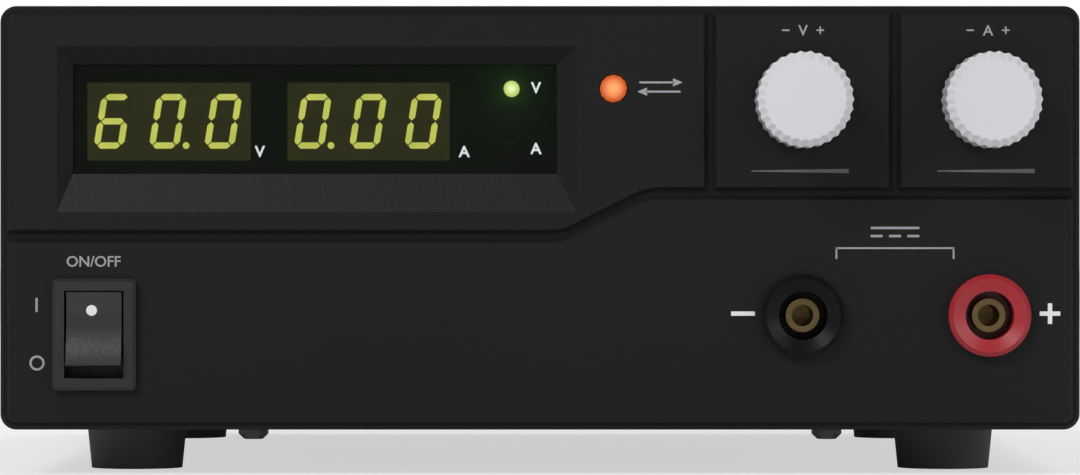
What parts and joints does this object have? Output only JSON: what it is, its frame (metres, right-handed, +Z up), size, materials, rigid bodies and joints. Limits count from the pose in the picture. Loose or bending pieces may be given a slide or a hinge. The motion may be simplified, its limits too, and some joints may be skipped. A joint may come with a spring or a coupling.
{
  "type": "bench power supply",
  "caption": "Bench power supply: steel case, black front with digital readouts, push and turn knobs, rocker switch, front sockets, rear binding posts, fused inlet and fan.",
  "frame": {"origin": "middle of the overall box, on the surface that the feet stand on", "axes": "+X to the right seen from the front, +Y to the back, +Z up; the front panel faces -Y"},
  "size_m": [0.2024, 0.2518, 0.0881],
  "materials": {
    "bezel_plastic": "fine grained moulded",
    "tinted_window": "polished, smoke tinted",
    "readout_plastic": "smooth moulded",
    "light_bar": "translucent lit",
    "circuit_board": "solder mask",
    "green_lamp": "clear lens, lit",
    "dark_lamp": "clear lens, unlit",
    "orange_lamp": "clear lens, lit",
    "zinc_metal": "zinc plated",
    "inner_plastic": "moulded",
    "knob_plastic": "satin silver grey",
    "switch_plastic": "satin moulded",
    "rocker_plastic": "satin moulded",
    "brass_metal": "turned",
    "black_insulator": "glossy moulded",
    "red_insulator": "glossy moulded",
    "cover_paint": "fine textured powder coat",
    "black_screw": "black oxide",
    "foot_rubber": "matte",
    "drawer_plastic": "moulded",
    "fuse_ceramic": "glazed tube",
    "fan_plastic": "moulded",
    "bright_wire": "nickel plated wire",
    "connector_plastic": "moulded",
    "sink_aluminium": "extruded",
    "ferrite_ceramic": "sintered",
    "winding_tape": "polyester tape",
    "can_sleeve": "shrunk sleeve",
    "copper_bar": "bare copper",
    "lead_insulation": "soft sleeve",
    "ribbon_insulation": "ribbed flat cable"
  },
  "bodies": {
    "housing": {"front_bezel": "bezel_plastic", "display_window": "tinted_window", "display_modules": "readout_plastic", "display_segments": "light_bar", "display_board": "circuit_board", "voltage_mode_led": "green_lamp", "current_mode_led": "dark_lamp", "remote_led": "orange_lamp", "encoder_bodies": "zinc_metal", "switch_housing": "switch_plastic", "switch_blades": "brass_metal", "black_socket": "black_insulator", "red_socket": "red_insulator", "socket_contacts": "brass_metal", "socket_nuts": "inner_plastic", "chassis": "zinc_metal", "top_cover": "cover_paint", "case_screws": "black_screw", "bezel_screws": "black_screw", "rubber_feet": "foot_rubber", "mains_inlet": "switch_plastic", "inlet_blades": "brass_metal", "inlet_screws": "black_screw", "fan_frame": "fan_plastic", "fan_guard": "bright_wire", "fan_screws": "black_screw", "red_post": "red_insulator", "black_post": "black_insulator", "post_studs": "brass_metal", "post_nuts": "brass_metal", "mode_switch": "zinc_metal", "remote_connector": "connector_plastic", "connector_pins": "brass_metal", "main_board": "circuit_board", "board_screws": "zinc_metal", "heatsinks": "sink_aluminium", "power_transistors": "inner_plastic", "transformer_core": "ferrite_ceramic", "transformer_winding": "winding_tape", "output_choke": "winding_tape", "capacitors": "can_sleeve", "filter_choke": "ferrite_ceramic", "output_bars": "copper_bar", "leads": "lead_insulation", "ribbon_cable": "ribbon_insulation"},
    "voltage_push": {"voltage_plunger": "inner_plastic"},
    "voltage_dial": {"voltage_shaft": "zinc_metal", "voltage_knob": "knob_plastic"},
    "current_push": {"current_plunger": "inner_plastic"},
    "current_dial": {"current_shaft": "zinc_metal", "current_knob": "knob_plastic"},
    "rocker": {"power_rocker": "rocker_plastic"},
    "slider": {"mode_slider": "inner_plastic"},
    "drawer": {"fuse_drawer": "drawer_plastic", "fuses": "fuse_ceramic"},
    "rotor": {"fan_rotor": "fan_plastic"},
    "red_washer": {"red_clamp": "red_insulator"},
    "red_nut": {"red_cap": "red_insulator"},
    "black_washer": {"black_clamp": "black_insulator"},
    "black_nut": {"black_cap": "black_insulator"}
  },
  "joints": [
    {"name": "voltage_press", "type": "slide", "parent": "housing", "child": "voltage_push", "axis": [0, 1, 0], "range_m": [0, 0.0006], "stiffness_N_per_m": 3000},
    {"name": "voltage_turn", "type": "hinge", "parent": "voltage_push", "child": "voltage_dial", "pos_m": [0.0485, -0.11105, 0.0693], "axis": [0, 1, 0], "continuous": true},
    {"name": "current_press", "type": "slide", "parent": "housing", "child": "current_push", "axis": [0, 1, 0], "range_m": [0, 0.0006], "stiffness_N_per_m": 3000},
    {"name": "current_turn", "type": "hinge", "parent": "current_push", "child": "current_dial", "pos_m": [0.083, -0.11105, 0.0693], "axis": [0, 1, 0], "continuous": true},
    {"name": "power_rock", "type": "hinge", "parent": "housing", "child": "rocker", "pos_m": [-0.0824, -0.10805, 0.0261], "axis": [1, 0, 0], "range_deg": [0, 20]},
    {"name": "mode_slide", "type": "slide", "parent": "housing", "child": "slider", "axis": [1, 0, 0], "range_m": [0, 0.007]},
    {"name": "fuse_pull", "type": "slide", "parent": "housing", "child": "drawer", "axis": [0, 1, 0], "range_m": [0, 0.015]},
    {"name": "fan_spin", "type": "hinge", "parent": "housing", "child": "rotor", "pos_m": [0, 0.08895, 0.047], "axis": [0, 1, 0], "continuous": true},
    {"name": "red_lift", "type": "slide", "parent": "housing", "child": "red_washer", "axis": [0, 1, 0], "range_m": [0, 0.00401]},
    {"name": "red_unscrew", "type": "hinge", "parent": "red_washer", "child": "red_nut", "pos_m": [0.054, 0.11495, 0.03], "axis": [0, 1, 0], "range_deg": [0, 1440]},
    {"name": "black_lift", "type": "slide", "parent": "housing", "child": "black_washer", "axis": [0, 1, 0], "range_m": [0, 0.00401]},
    {"name": "black_unscrew", "type": "hinge", "parent": "black_washer", "child": "black_nut", "pos_m": [0.08, 0.11495, 0.03], "axis": [0, 1, 0], "range_deg": [0, 1440]}
  ],
  "couplings": [
    {"joint": "red_lift", "follows": "red_unscrew", "m_per_rad": 0.00015915},
    {"joint": "black_lift", "follows": "black_unscrew", "m_per_rad": 0.00015915}
  ]
}
